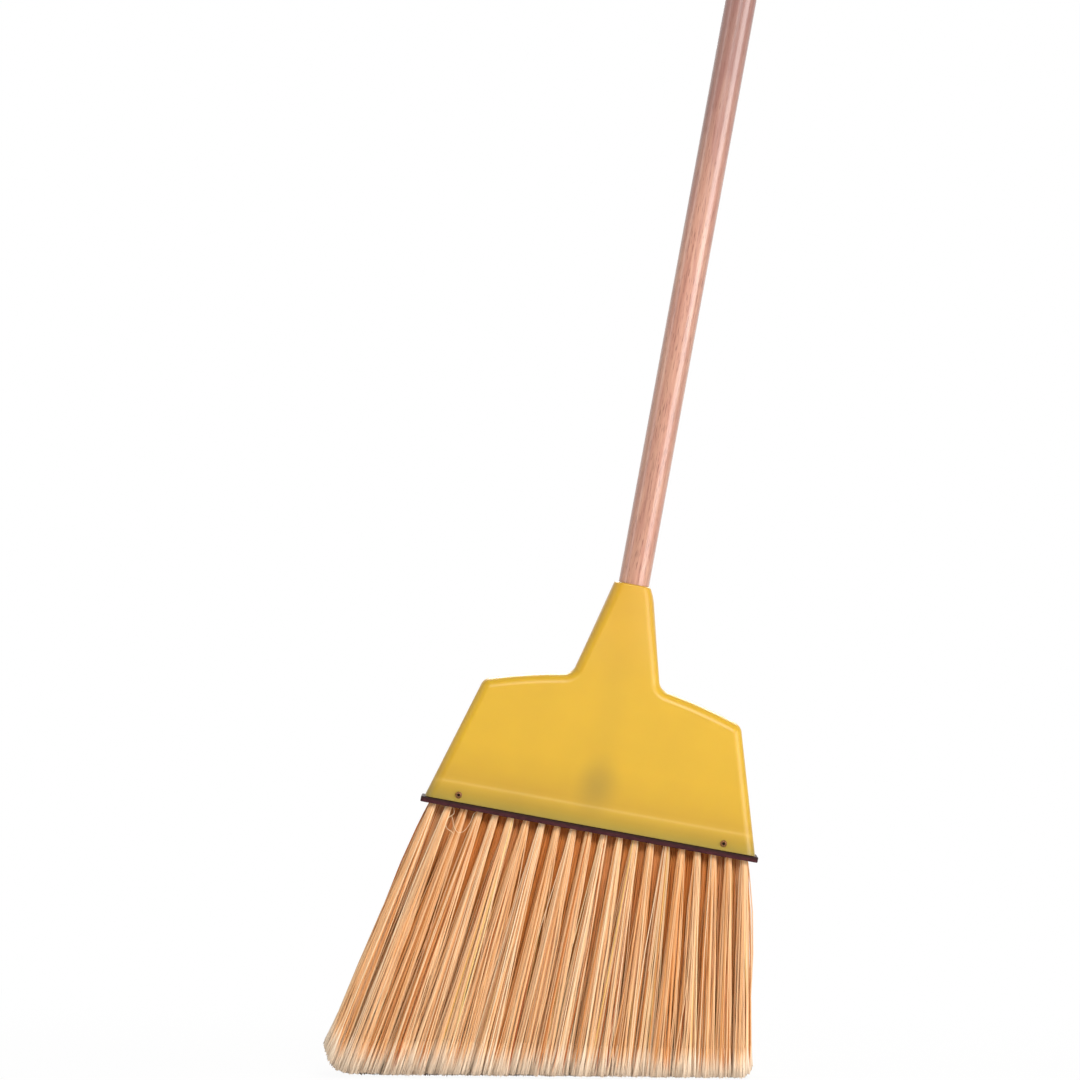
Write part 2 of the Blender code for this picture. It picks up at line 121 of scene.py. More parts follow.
def headCells(tree, width=1, depth=1, height=1):     # the place in the head's frame, in cells of so many mm
    coords = addNode(tree, "TexCoord")
    return addNode(tree, "Mapping", {"vector_type": "TEXTURE", "Location": headOrigin, "Rotation": headAngles,
                                     "Scale": (width / 1000, depth / 1000, height / 1000)},
                   {"Vector": coords.outputs["Object"]})


def easedRange(low, high, least=0.0, most=1.0):
    return {"interpolation_type": "SMOOTHSTEP", "From Min": low, "From Max": high, "To Min": least, "To Max": most}


def mottling(tree, cell, detail, low, high, least, most):   # noise, with its low to high values spread evenly
    noise = addNode(tree, "TexNoise", {"Scale": 1.0, "Detail": detail}, {"Vector": headCells(tree, *cell)})
    return addNode(tree, "MapRange", {"From Min": low, "From Max": high, "To Min": least, "To Max": most},
                   {"Value": noise})


def newObject(name, mesh):
    thing = bpy.data.objects.new(name, mesh)
    bpy.context.scene.collection.objects.link(thing)
    return thing


def solidOf(bm, name):                     # the bmesh as an object, still in the head's millimetres
    mesh = bpy.data.meshes.new(name)
    bm.to_mesh(mesh)
    bm.free()
    return newObject(name, mesh)


def settle(piece):                         # applies the piece's modifiers
    shaped = piece.evaluated_get(bpy.context.evaluated_depsgraph_get())
    mesh = bpy.data.meshes.new_from_object(shaped)
    piece.modifiers.clear()
    piece.data = mesh


def combine(piece, tool, operation):       # joins or cuts one solid with another, which is then dropped
    step = piece.modifiers.new(tool.name, "BOOLEAN")
    step.operation = operation
    step.solver = "EXACT"
    step.object = tool
    settle(piece)
    bpy.data.objects.remove(tool)


def dressPiece(piece, material):
    mesh = piece.data
    mesh.transform(headPlace)
    mesh.materials.clear()
    mesh.materials.append(material)
    mesh.shade_smooth()


def tagPiece(piece, node):
    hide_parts(node)
    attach(piece, "root")


def finishPiece(piece, material, node):    # for solids, which are sharp where faces meet at over 35 degrees
    dressPiece(piece, material)
    piece.data.set_sharp_from_angle(angle=math.radians(35))
    weights = piece.modifiers.new("weightedNormals", "WEIGHTED_NORMAL")
    weights.keep_sharp = True
    settle(piece)
    tagPiece(piece, node)


def turnedSolid(name, profile, segments):  # spins a profile of (radius, height) that starts and ends on Z
    bm = bmesh.new()
    points = [bm.verts.new((radius, 0, height)) for radius, height in profile]
    lines = [bm.edges.new(pair) for pair in zip(points, points[1:])]
    bmesh.ops.spin(bm, geom=points + lines, cent=(0, 0, 0), axis=(0, 0, 1), angle=math.tau,
                   steps=segments, use_merge=True)
    bmesh.ops.remove_doubles(bm, verts=bm.verts, dist=0.001)
    bmesh.ops.recalc_face_normals(bm, faces=bm.faces)
    return solidOf(bm, name)


def rods(name, radius, lines, segments):  # one object of many round rods, each from one point to another
    bm = bmesh.new()
    for start, end in lines:
        start, end = Vector(start), Vector(end)
        turn = (end - start).to_track_quat("Z", "Y").to_matrix().to_4x4()
        bmesh.ops.create_cone(bm, cap_ends=True, segments=segments, radius1=radius, radius2=radius,
                              depth=(end - start).length, matrix=Matrix.Translation((start + end) / 2) @ turn)
    return solidOf(bm, name)


def roundOff(bm, geom, size, segments, affect="EDGES"):
    bmesh.ops.bevel(bm, geom=geom, offset=size, segments=segments, profile=0.5, affect=affect, material=-1)


def sliceAt(bm, geom, place, direction, cutAway=False):
    return bmesh.ops.bisect_plane(bm, geom=geom, dist=0.0001, plane_co=place, plane_no=direction,
                                  clear_outer=cutAway)


def openedEnds(bm, low, high):             # cuts the mesh off level at both heights, and yields the edges there
    for height, outward in ((low, -1), (high, 1)):
        cut = sliceAt(bm, bm.verts[:] + bm.edges[:] + bm.faces[:], (0, 0, height), (0, 0, outward), True)
        yield [item for item in cut["geom_cut"] if isinstance(item, bmesh.types.BMEdge)]


def smoothShare(value, low, high):         # 0 below low, 1 above high, eased between
    share = min(max((value - low) / (high - low), 0), 1)
    return share * share * (3 - 2 * share)


# Camera, as in the photograph: level, a little above the hood, and turned a trace
camera = {
    "place": (-0.0025, -5.0, 0.4127),      # metres
    "lens": 215.8,                         # mm
    "sensor": 36,                          # mm
    "roll": 0.4,                           # degrees
}
cameraData = bpy.data.cameras.new("photographCamera")
cameraData.lens = camera["lens"]
cameraData.sensor_width = camera["sensor"]
cameraData.clip_end = 50
photographCamera = newObject("photographCamera", cameraData)
photographCamera.matrix_world = (Matrix.Translation(camera["place"]) @ Matrix.Rotation(math.radians(90), 4, "X")
                                 @ Matrix.Rotation(math.radians(camera["roll"]), 4, "Z"))
bpy.context.scene.camera = photographCamera
bpy.context.scene.view_settings.view_transform = "Standard"


# Light: a soft lamp above the camera, high enough to leave no gloss on upright faces, a broad low one well round
# to the right for the long highlights, a weak one on the left, one behind, and a pale room
light = {
    "middle": (0.05, 0, 0.35),             # metres, where the lamps point
    "room": 0.17,                          # strength of the room's own light
    "lamps": {                             # degrees round from the camera, degrees up, metres, watts, size in m
        "frontTop": (12, 29, 2.4, 34.5, (1.1, 0.8)),
        "stripRight": (55, 3, 2.4, 26, (1.6, 1.0)),
        "sideLeft": (-72, 12, 2.4, 6, (0.6, 1.6)),
        "backTop": (176, 34, 2.4, 46, (1.6, 1.2)),
    },
}


def addLamps():
    middle = Vector(light["middle"])
    for name, (azimuth, elevation, distance, power, size) in light["lamps"].items():
        lampData = bpy.data.lights.new(name, "AREA")
        lampData.shape = "RECTANGLE"
        lampData.size, lampData.size_y = size
        lampData.energy = power
        lamp = newObject(name, lampData)
        a, e = math.radians(azimuth), math.radians(elevation)
        towards = Vector((math.sin(a) * math.cos(e), -math.cos(a) * math.cos(e), math.sin(e)))
        lamp.location = middle + towards * distance
        lamp.rotation_euler = towards.to_track_quat("Z", "Y").to_euler()


def makeRoom():                            # white where it is seen or mirrored, and softer as a light
    room = bpy.data.worlds.new("paleRoom")
    room.use_nodes = True
    tree = room.node_tree
    tree.nodes.clear()
    path = addNode(tree, "LightPath")
    seen = addNode(tree, "Math", {"operation": "ADD"},
                   {0: path.outputs["Is Camera Ray"], 1: path.outputs["Is Glossy Ray"]})
    seen = addNode(tree, "Math", {"operation": "ADD", "use_clamp": True},
                   {0: seen, 1: path.outputs["Is Transmission Ray"]})
    glow = addNode(tree, "Background", {"Strength": light["room"], "Color": (1, 1, 1, 1)})
    white = addNode(tree, "Background", {"Strength": 1.0, "Color": (1, 1, 1, 1)})
    mix = addNode(tree, "MixShader", links={0: seen, 1: glow, 2: white})
    addNode(tree, "OutputWorld", links={"Surface": mix})
    bpy.context.scene.world = room


floor = {
    "radius": 3.0,           # metres
    "drop": 0.0004,          # metres below the tips, so that they don't touch
    "paint": "#F4F4F2",
    "whitening": (0.3, 1.0, 0.95, 1.0),    # metres from the middle, and the shares seen as plain white there
}


def whiteStudioFloor(tree):
    # Matt paint that takes a faint shadow by the tips, and is plain white where it is seen further out
    coords = addNode(tree, "TexCoord")
    reach = addNode(tree, "VectorMath", {"operation": "LENGTH"}, {0: coords.outputs["Object"]})
    far = addNode(tree, "MapRange", easedRange(*floor["whitening"]), {"Value": reach.outputs["Value"]})
    path = addNode(tree, "LightPath")
    seen = addNode(tree, "Math", {"operation": "MAXIMUM"},
                   {0: path.outputs["Is Camera Ray"], 1: path.outputs["Is Glossy Ray"]})
    share = addNode(tree, "Math", {"operation": "MULTIPLY"}, {0: far, 1: seen})
    paint = addNode(tree, "BsdfDiffuse", {"Color": linear(floor["paint"])})
    white = addNode(tree, "Emission", {"Color": (1, 1, 1, 1), "Strength": 1.0})
    return addNode(tree, "MixShader", links={0: share, 1: paint, 2: white})


def makeFloor():
    bm = bmesh.new()
    bmesh.ops.create_circle(bm, cap_ends=True, radius=floor["radius"], segments=96)
    bmesh.ops.translate(bm, vec=(0, 0, -floor["drop"]), verts=bm.verts)
    studioFloor = solidOf(bm, "studioFloor")
    studioFloor.data.materials.append(newMaterial("whiteStudioFloor", whiteStudioFloor))


addLamps()
makeRoom()
makeFloor()
print("camera, lamps and floor made")


# Materials

wood = {
    "colours": [(0.20, "#AE7860"), (0.42, "#C98F74"), (0.60, "#D49C80"), (0.80, "#DCA98C")],
    "streak": (2.1, 2.1, 60),              # mm across, mm across, mm along the grain
    "cloud": ((9, 9, 240), 2, 0.3, 0.7, 0.78, 0.99),       # mm, noise detail, its range, and the shades it gives
    "blush": ((8, 8, 42), 2, 0.42, 0.6, 0, 1),             # patches of a pinker tone
    "blushTint": "#F4EAEE",
    "paintedTopShade": (400, 640),                 # mm up where the wood is painted greyer and darker, as painted shade
    "topShadeTint": "#C8BEC9",
    "pore": ((0.6, 0.6, 9), 1, 0.58, 0.7, 0, 0.8),         # real pores are half this wide, and too fine to show
    "poreColour": "#84503C",
    "poreDents": {"Strength": 0.15, "Distance": 0.00006, "invert": True},
    "lacquer": {"Roughness": 0.45, "IOR": 1.5, "Specular IOR Level": 0.3,
                "Coat Weight": 1.0, "Coat Roughness": 0.24, "Coat IOR": 1.62},
}


def lacqueredHardwood(tree):
    # Light hardwood, turned to a dowel and dipped in clear lacquer: pinkish tan, with long straight grain
    # and short darker pores, under a satin coat
    streaks = addNode(tree, "TexNoise", {"Scale": 1.0, "Detail": 3.0, "Roughness": 0.65},
                      {"Vector": headCells(tree, *wood["streak"])})
    grain = addNode(tree, "ValToRGB", {"stops": wood["colours"]}, {"Fac": streaks})
    colour = addNode(tree, "VectorMath", {"operation": "SCALE"},
                     {0: grain, "Scale": mottling(tree, *wood["cloud"])})
    axes = addNode(tree, "SeparateXYZ", links={0: headCells(tree)})
    # painted shade: the wood turns greyer and darker from 400 to 640 mm up
    climb = addNode(tree, "MapRange", easedRange(*wood["paintedTopShade"]), {"Value": axes.outputs["Z"]})
    pores = mottling(tree, *wood["pore"])
    for mask, blend, tint in ((mottling(tree, *wood["blush"]), "MULTIPLY", wood["blushTint"]),
                              (climb, "MULTIPLY", wood["topShadeTint"]),
                              (pores, "MIX", wood["poreColour"])):
        tinted = addNode(tree, "Mix", {"data_type": "RGBA", "blend_type": blend, 7: linear(tint)},
                         {0: mask, 6: colour})
        colour = tinted.outputs[2]
    bump = addNode(tree, "Bump", wood["poreDents"], {"Height": pores})
    return addNode(tree, "BsdfPrincipled", wood["lacquer"], {"Base Color": colour, "Normal": bump})


yellow = {
    "span": 60.0,            # mm up from the hood's lower edge that the tones are spread over
    # painted shade: the tones are olive low down, where the dark block stands behind the wall, with a paler
    # painted highlight line at 0.243 of the span, the skirt's top
    "tones": [(0.0, "#AA8F34"), (0.035, "#AE9226"), (0.13, "#BE981F"), (0.20, "#CDA226"), (0.243, "#D8AC34"),
              (0.285, "#D2A31C"), (0.33, "#D0A112"), (0.5, "#D8A80F"), (0.8, "#E0AF10")],
    "shadows": [             # painted shadows of the parts inside, seen through the wall: the boss, the handle, and a warmer one over the neck; ovals that fade outwards: height, reach across and up in mm, share and colour
        (31, 19, 26, 0.6, "#A48620"), (95, 15, 85, 0.09, "#A48620"), (178, 60, 75, 0.5, "#D8A012"),
    ],
    "shadowEnd": 1.2,        # times its reach, where a shadow has faded out
    "flow": ((45, 45, 45), 2, 0.3, 0.7, 0.885, 0.945),     # cloudiness from the melt's flow
    "grit": (0.45, 0.45, 0.45),            # mm, sparked mould finish, drawn about three times coarser than real
    "gritBumps": {"Strength": 0.15, "Distance": 0.00004},
    "plastic": {"Roughness": 0.4, "IOR": 1.49, "Coat Weight": 0.25, "Coat Roughness": 0.38,
                "Subsurface Weight": 0.3, "Subsurface Radius": (1.0, 0.7, 0.3), "Subsurface Scale": 0.006},
}


def yellowPolypropylene(tree):
    # Yellow polypropylene, injection moulded 2 mm thick: satin and a little translucent. The dark block behind the
    # wall is
    # painted in as shade: an olive band that fades upwards, and its boss as a soft spot, with a painted highlight
    # line at the skirt's top
    axes = addNode(tree, "SeparateXYZ", links={0: headCells(tree)})
    x, z = axes.outputs["X"], axes.outputs["Z"]
    rise = addNode(tree, "Math", {"operation": "DIVIDE", 1: yellow["span"], "use_clamp": True}, {0: z})
    colour = addNode(tree, "ValToRGB", {"stops": yellow["tones"]}, {"Fac": rise})
    # painted shadows: each oval darkens the colour, fading outwards
    for middle, across, up, strength, hue in yellow["shadows"]:
        sideways = addNode(tree, "Math", {"operation": "DIVIDE", 1: across}, {0: x})
        low = addNode(tree, "Math", {"operation": "SUBTRACT", 1: middle}, {0: z})
        upwards = addNode(tree, "Math", {"operation": "DIVIDE", 1: up}, {0: low})
        oval = addNode(tree, "CombineXYZ", links={0: sideways, 1: upwards})
        distance = addNode(tree, "VectorMath", {"operation": "LENGTH"}, {0: oval})
        mask = addNode(tree, "MapRange", easedRange(yellow["shadowEnd"], 0, 0, strength),
                       {"Value": distance.outputs["Value"]})
        colour = addNode(tree, "Mix", {"data_type": "RGBA", 7: linear(hue)}, {0: mask, 6: colour}).outputs[2]
    clouded = addNode(tree, "VectorMath", {"operation": "SCALE"},
                      {0: colour, "Scale": mottling(tree, *yellow["flow"])})
    grit = addNode(tree, "TexNoise", {"Scale": 1.0, "Detail": 1.0}, {"Vector": headCells(tree, *yellow["grit"])})
    bump = addNode(tree, "Bump", yellow["gritBumps"], {"Height": grit})
    return addNode(tree, "BsdfPrincipled", yellow["plastic"], {"Base Color": clouded, "Normal": bump})


dark = {
    "scuffs": (6, 6, 2),     # mm
    "tones": [(0.35, "#38181D"), (0.62, "#4C2529"), (0.8, "#643A3E")],
    "paintedShade": (-3.2, -0.6, 0.0, 0.75),      # painted shade under the hood's edge: mm up where it comes in, and its share there
    "paintedShadeColour": "#241A12",
    "scuffBumps": {"Strength": 0.2, "Distance": 0.0001},
    "plastic": {"Roughness": 0.7, "IOR": 1.49, "Specular IOR Level": 0.15},
}


def darkPolypropylene(tree):
    # Dark purple-brown polypropylene, moulded: satin, with paler scuffs, and painted shade in the joint under the
    # hood
    scuffs = addNode(tree, "TexNoise", {"Scale": 1.0, "Detail": 4.0, "Roughness": 0.7},
                     {"Vector": headCells(tree, *dark["scuffs"])})
    scuffed = addNode(tree, "ValToRGB", {"stops": dark["tones"]}, {"Fac": scuffs})
    axes = addNode(tree, "SeparateXYZ", links={0: headCells(tree)})
    # painted shade: darker near the top, under the hood's edge
    paintedShade = addNode(tree, "MapRange", easedRange(*dark["paintedShade"]), {"Value": axes.outputs["Z"]})
    colour = addNode(tree, "Mix", {"data_type": "RGBA", 7: linear(dark["paintedShadeColour"])}, {0: paintedShade, 6: scuffed})
    bump = addNode(tree, "Bump", dark["scuffBumps"], {"Height": scuffs})
    return addNode(tree, "BsdfPrincipled", dark["plastic"], {"Base Color": colour.outputs[2], "Normal": bump})


bronzed = {
    "wear": (0.6, 0.6, 0.6),               # mm
    "tones": [(0.4, "#6A4228"), (0.7, "#B0845A")],
    "paintedShade": (1.5, 0.9, 0.0, 0.95),        # painted shade in the recess: mm from the screw's axis where it comes in, and its share there
    "paintedShadeColour": "#140C08",
    "steel": {"Roughness": 0.4, "Metallic": 0.9},
}


def bronzedSteel(tree):
    # Steel screw with a bronzed finish: dark brown metal, worn paler in small flecks, and painted shade, near
    # black, in its recess
    wear = addNode(tree, "TexNoise", {"Scale": 1.0, "Detail": 2.0},
                   {"Vector": headCells(tree, *bronzed["wear"])})
    colour = addNode(tree, "ValToRGB", {"stops": bronzed["tones"]}, {"Fac": wear})
    mirrored = addNode(tree, "VectorMath", {"operation": "ABSOLUTE"}, {0: headCells(tree)})
    offset = addNode(tree, "VectorMath",
                     {"operation": "SUBTRACT", 1: (head["screwSpread"], 0, head["screwHeight"])},
                     {0: mirrored})
    flat = addNode(tree, "VectorMath", {"operation": "MULTIPLY", 1: (1, 0, 1)}, {0: offset})
    reach = addNode(tree, "VectorMath", {"operation": "LENGTH"}, {0: flat})
    # painted shade: near black in the cross recess
    paintedShade = addNode(tree, "MapRange", easedRange(*bronzed["paintedShade"]), {"Value": reach.outputs["Value"]})
    recessShaded = addNode(tree, "Mix", {"data_type": "RGBA", 7: linear(bronzed["paintedShadeColour"])}, {0: paintedShade, 6: colour})
    return addNode(tree, "BsdfPrincipled", bronzed["steel"], {"Base Color": recessShaded.outputs[2]})


straw = {
    "tones": [(0.00, "#A8562A"), (0.05, "#C87A40"), (0.14, "#E4A060"), (0.40, "#F6C490"), (0.70, "#FBD3A5"),
              (0.93, "#FEE6C2"), (0.955, "#F3C877"), (0.985, "#F5D088"), (1.00, "#A27462")],
    # painted shade: strands deep in the pile turn this orange towards the root
    "root": "#E88E42",
    "rootMask": (0.98, 0.42),              # shares of the length where each colour comes in
    "tip": "#FFE9CF",
    "tipMask": (0.91, 1.02),
    "paleFirst": 0.09,       # the palest filaments' tips start this much further up than the darkest ones'
    "cut": "#70382A",        # painted shade on the inner rows' very ends, by the floor
    "cutMask": (0.975, 0.99),
    "plastic": {"Roughness": 0.46, "IOR": 1.49, "Specular IOR Level": 0.12},
}


def strawFilament(tree):
    # Polypropylene filament, extruded in straw colours and split at the tips: satin, and so pale that light
    # bounces deep between the tufts and warms there, helped by painted shade on the deep strands. Each filament
    # has its own tone, and its split ends are paler
    strand = addNode(tree, "Attribute", {"attribute_name": "strand"})
    parts = addNode(tree, "SeparateXYZ", links={0: strand.outputs["Vector"]})
    tone, along, depth = (parts.outputs[axis] for axis in "XYZ")
    colour = addNode(tree, "ValToRGB", {"stops": straw["tones"]}, {"Fac": tone})
    paling = addNode(tree, "Math", {"operation": "MULTIPLY_ADD", 1: straw["paleFirst"]}, {0: tone, 2: along})
    # painted shade: deep strands are tinted orange towards the root, and the inner rows' ends by the floor
    # darkened
    for name, place, deepOnly in (("root", along, True), ("tip", paling, False), ("cut", along, True)):
        mask = addNode(tree, "MapRange", easedRange(*straw[name + "Mask"]), {"Value": place})
        if deepOnly:
            mask = addNode(tree, "Math", {"operation": "MULTIPLY"}, {0: mask, 1: depth})
        tinted = addNode(tree, "Mix", {"data_type": "RGBA", 7: linear(straw[name])}, {0: mask, 6: colour})
        colour = tinted.outputs[2]
    return addNode(tree, "BsdfPrincipled", straw["plastic"], {"Base Color": colour})


woodFinish = newMaterial("lacqueredHardwood", lacqueredHardwood)
hoodPlastic = newMaterial("mouldedYellowPolypropylene", yellowPolypropylene)
blockPlastic = newMaterial("mouldedDarkPolypropylene", darkPolypropylene)
screwFinish = newMaterial("bronzedSteel", bronzedSteel)
bristlePlastic = newMaterial("extrudedStrawFilament", strawFilament)
print("materials made")


# Handle, with a domed top and a coarse thread on its tip

handle = {
    "radius": 11.9,
    "shoulder": 46.3,        # mm, where the full width starts, on top of the block's boss
    "length": 1219.0,
    "dome": 8.0,
    "domeSteps": 11,
    "chamfer": 1.5,
    "threadRadius": 9.5,
    "threadDepth": 1.6,
    "threadPitch": 5.08,
    "threadLength": 26.0,
    "threadSteps": 24,       # to the turn
    "segments": 64,
}


def threadedRod(name, radius, low, high):  # a trapezoid of one pitch, spun upwards, then cut off square
    pitch, depth, steps = handle["threadPitch"], handle["threadDepth"], handle["threadSteps"]
    turns = math.ceil((high - low) / pitch) + 3
    start = math.floor(low / pitch) * pitch - pitch
    bm = bmesh.new()
    profile = [(radius, 0), (radius, 0.25), (radius - depth, 0.5), (radius - depth, 0.75), (radius, 1)]
    points = [bm.verts.new((reach, 0, start + pitch * share)) for reach, share in profile]
    lines = [bm.edges.new(pair) for pair in zip(points, points[1:])]
    bmesh.ops.spin(bm, geom=points + lines, cent=(0, 0, 0), axis=(0, 0, 1), dvec=(0, 0, pitch / steps),
                   angle=math.tau * turns, steps=steps * turns)
    bmesh.ops.remove_doubles(bm, verts=bm.verts, dist=0.01)
    for rim in openedEnds(bm, low, high):
        bmesh.ops.holes_fill(bm, edges=rim, sides=0)
    bmesh.ops.recalc_face_normals(bm, faces=bm.faces)
    return solidOf(bm, name)


def makeHandle():
    radius, shoulder = handle["radius"], handle["shoulder"]
    top = shoulder + handle["length"] - handle["threadLength"]
    profile = [(0, shoulder), (radius - handle["chamfer"], shoulder), (radius, shoulder + handle["chamfer"])]
    for step in range(handle["domeSteps"]):
        angle = math.radians(90) * step / handle["domeSteps"]
        profile.append((radius * math.cos(angle), top - handle["dome"] * (1 - math.sin(angle))))
    profile.append((0, top))
    piece = turnedSolid("broomHandle", profile, handle["segments"])
    combine(piece, threadedRod("handleThread", handle["threadRadius"], shoulder - handle["threadLength"],
                               shoulder + 1), "UNION")
    finishPiece(piece, woodFinish, "handle")


makeHandle()
print("handle made")


# Hood: its outline is extruded, rounded and drawn in to a round neck, then given its wall

hood = {
    "mouth": (129.3, 0.0),   # half width and height of each corner of the outline, mm
    "shoulder": (100.7, 96.5),
    "bow": (67.5, 106.4),
    "neckRoot": (34.3, 112.7),
    "neckTop": (15.0, 189.0),
    "cornerRadii": (9.0, 300.0, 8.0),      # of the neck root, bow and shoulder
    "overrun": 12,           # mm that the skins run on past the mouth and the neck, before they are cut off
    "halfDepth": 25.0,       # at the mouth, drawn in to the neck's radius at its top
    "skirt": 14.5,           # height of the upright band
    "skirtStep": 0.17,       # the faces above the band are set in by this
    "skirtSlices": (-1, -0.3, 0.2, 0.7, 1.2, 2),   # mm from the band's top, where the skins get more points
    "edge": 7.5,             # rounding between sides and faces
    "wall": 2.0,
    "bore": 12.2,            # radius of the collar that holds the handle
    "collar": 12.0,          # its depth
    "collarSlices": (0.5, 4, 7, 9, 10.5),
    "roundness": 0.3,        # how far the neck turns from a rounded square to a circle
    "turnFrom": 5.6,         # mm above the neck's root, where it starts to turn
    "neckSlices": 14,
    "neckGrid": (6, 2.6),    # and lengthwise: slices each way from the axis, and mm between them
    "drawnIn": 2.2,          # mm that the right side of its end is drawn in
    "lip": 1.3,              # rounding of its end
    "lipFall": 0.35,         # mm that its end falls from the handle outwards
    "rim": 0.35,             # rounding of the mouth
    "screwHole": 1.4,
}


def depthAt(height):                       # half the hood's depth, front to back
    top = hood["neckTop"][1]
    climb = max(height - hood["skirt"], 0) / (top - hood["skirt"])
    step = hood["skirtStep"] * smoothShare(height, hood["skirt"] - 1, hood["skirt"] + 2) * (1 - min(climb, 1))
    return hood["halfDepth"] + (hood["neckTop"][0] - hood["halfDepth"]) * climb - step


def neckWidthAt(height):                   # half the neck's width
    (rootWidth, rootHeight), (topWidth, topHeight) = hood["neckRoot"], hood["neckTop"]
    return rootWidth + (topWidth - rootWidth) * (height - rootHeight) / (topHeight - rootHeight)


def hoodOutline(inset):                    # the right half's corners, from past the neck to past the mouth
    names = ("neckTop", "neckRoot", "bow", "shoulder", "mouth")
    points = [Vector(hood[name]) for name in names]
    runs = [(after - before).normalized() for before, after in zip(points, points[1:])]
    normals = [Vector((-run.y, run.x)) for run in runs]
    points[0] -= runs[0] * hood["overrun"]
    points[-1] += runs[-1] * hood["overrun"]
    drawnIn = [points[0] - normals[0] * inset]
    for before, point, after in zip(normals, points[1:], normals[1:]):
        drawnIn.append(point - (before + after).normalized() * inset / math.cos(before.angle(after) / 2))
    return drawnIn + [points[-1] - normals[-1] * inset], runs


def hoodShell(inset):                      # one skin of the hood, open past the mouth and past the neck
    points, runs = hoodOutline(inset)
    bm = bmesh.new()
    right = [bm.verts.new((x, 0, z)) for x, z in points]
    left = [bm.verts.new((-x, 0, z)) for x, z in reversed(points)]
    bm.faces.new(right + left)
    for index, (radius, bend) in enumerate(zip(hood["cornerRadii"], (-1, 1, 1)), 1):
        turn = runs[index - 1].angle(runs[index])
        for vert in (right[index], left[-1 - index]):
            roundOff(bm, [vert], (radius - bend * inset) * math.tan(turn / 2), 10, "VERTICES")
    # front and back, with rounded rims
    deep = hood["halfDepth"] - inset
    made = bmesh.ops.extrude_face_region(bm, geom=bm.faces[:], use_keep_orig=True)
    bmesh.ops.translate(bm, vec=(0, 2 * deep, 0),
                        verts=[item for item in made["geom"] if isinstance(item, bmesh.types.BMVert)])
    bmesh.ops.translate(bm, vec=(0, -deep, 0), verts=bm.verts)
    bmesh.ops.recalc_face_normals(bm, faces=bm.faces)
    bmesh.ops.delete(bm, geom=[face for face in bm.faces if abs(face.normal.z) > 0.99], context="FACES_ONLY")
    rims = [edge for edge in bm.edges if sum(abs(face.normal.y) > 0.5 for face in edge.link_faces) == 1
            and len(edge.link_faces) == 2]
    roundOff(bm, rims, hood["edge"] - inset, 9)
    # sliced up at the skirt, and on the neck so that it can turn round
    top = hood["neckTop"][1]
    collarFoot, low = top - hood["collar"], hood["neckRoot"][1] + hood["turnFrom"]
    heights = [hood["skirt"] + step for step in hood["skirtSlices"]]
    heights += [low + (collarFoot - low) * step / hood["neckSlices"] for step in range(hood["neckSlices"] + 1)]
    for height in heights + [collarFoot + step for step in hood["collarSlices"]]:
        sliceAt(bm, bm.verts[:] + bm.edges[:] + bm.faces[:], (0, 0, height), (0, 0, 1))
    for vert in bm.verts:
        vert.co.y -= math.copysign(hood["halfDepth"] - depthAt(vert.co.z), vert.co.y)
    slices, apart = hood["neckGrid"]
    for step in range(-slices, slices + 1):
        for direction in ((1, 0, 0), (0, 1, 0)):
            faces = [face for face in bm.faces if min(vert.co.z for vert in face.verts) > low - 0.01]
            edges = {edge for face in faces for edge in face.edges}
            verts = {vert for face in faces for vert in face.verts}
            sliceAt(bm, list(verts) + list(edges) + faces, Vector(direction) * step * apart, direction)
    for vert in bm.verts:
        x, y, z = vert.co
        share = hood["roundness"] * smoothShare(z, low, top - 6)
        width, depth = neckWidthAt(z) - inset, depthAt(z) - inset
        angle = math.atan2(y / depth, x / width)
        if share > 0:
            vert.co.x += (width * math.cos(angle) - x) * share
            vert.co.y += (depth * math.sin(angle) - y) * share
        if inset and z > collarFoot + 0.25:          # the inner skin closes on the handle
            vert.co.x, vert.co.y = hood["bore"] * math.cos(angle), hood["bore"] * math.sin(angle)
    bmesh.ops.recalc_face_normals(bm, faces=bm.faces)
    return bm


def rimEdges(bm, height, least, most):     # edges of a square-cut end, by their distance from the axis
    return [edge for edge in bm.edges if all(abs(vert.co.z - height) < 0.001
                                             and least < math.hypot(vert.co.x, vert.co.y) < most
                                             for vert in edge.verts)]


def drillForScrews(piece, radius, outer, inner, segments):   # outer and inner are mm from the middle plane
    lines = [((x, face * outer, head["screwHeight"]), (x, face * inner, head["screwHeight"]))
             for _, x, face in screwPlaces]
    combine(piece, rods("screwHoles", radius, lines, segments), "DIFFERENCE")


def shapeNeckEnd(bm):                      # it falls outwards, and its right side is drawn in to the handle
    top, bore, lip = hood["neckTop"][1], hood["bore"], hood["lip"]
    for vert in bm.verts:
        reach = math.hypot(vert.co.x, vert.co.y)
        climb = (vert.co.z - top) / hood["collar"] + 1
        fall = hood["lipFall"] * min(max(reach - bore, 0) / lip, 1)
        vert.co.z -= fall * max((vert.co.z - top) / lip + 1, 0)
        if climb > 0 and vert.co.x > 0:
            share = min(max(reach - bore, 0) / (hood["neckTop"][0] - bore), 1) * vert.co.x / reach
            vert.co.x -= hood["drawnIn"] * share * climb ** 2


